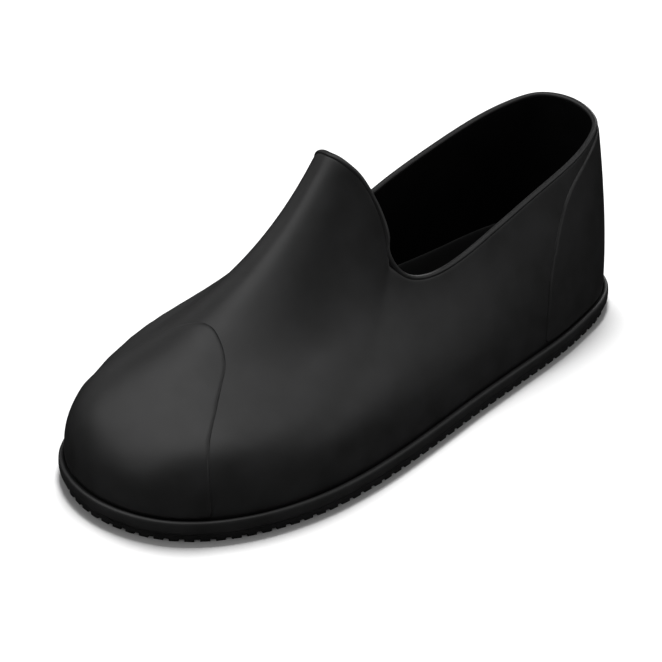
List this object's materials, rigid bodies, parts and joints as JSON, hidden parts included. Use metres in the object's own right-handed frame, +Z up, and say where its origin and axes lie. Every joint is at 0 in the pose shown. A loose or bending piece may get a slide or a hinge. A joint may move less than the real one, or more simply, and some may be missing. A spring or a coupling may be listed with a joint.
{
  "type": "rubber overshoe",
  "caption": "Low pull-on rubber overshoe for the left foot, with a raised tongue, a rolled topline, a toe cap, a heel counter and a ribbed sole, open inside for a shod foot.",
  "frame": {"origin": "on the floor, under the middle of the sole's length and width", "axes": "+X to the outer (lateral) side of the left foot, +Y from the toe to the heel, +Z up"},
  "size_m": [0.1191, 0.3036, 0.1216],
  "materials": {
    "sole_rubber": "matte black, moulded",
    "foxing_rubber": "matte black strip",
    "insole_rubber": "matte black, unpolished",
    "upper_rubber": "satin black, fine grain",
    "bead_rubber": "satin black"
  },
  "bodies": {
    "root": {"outsole": "sole_rubber", "foxing": "foxing_rubber", "insole": "insole_rubber", "upper": "upper_rubber", "toe_cap": "upper_rubber", "heel_counter": "upper_rubber", "topline_bead": "bead_rubber"}
  },
  "joints": []
}
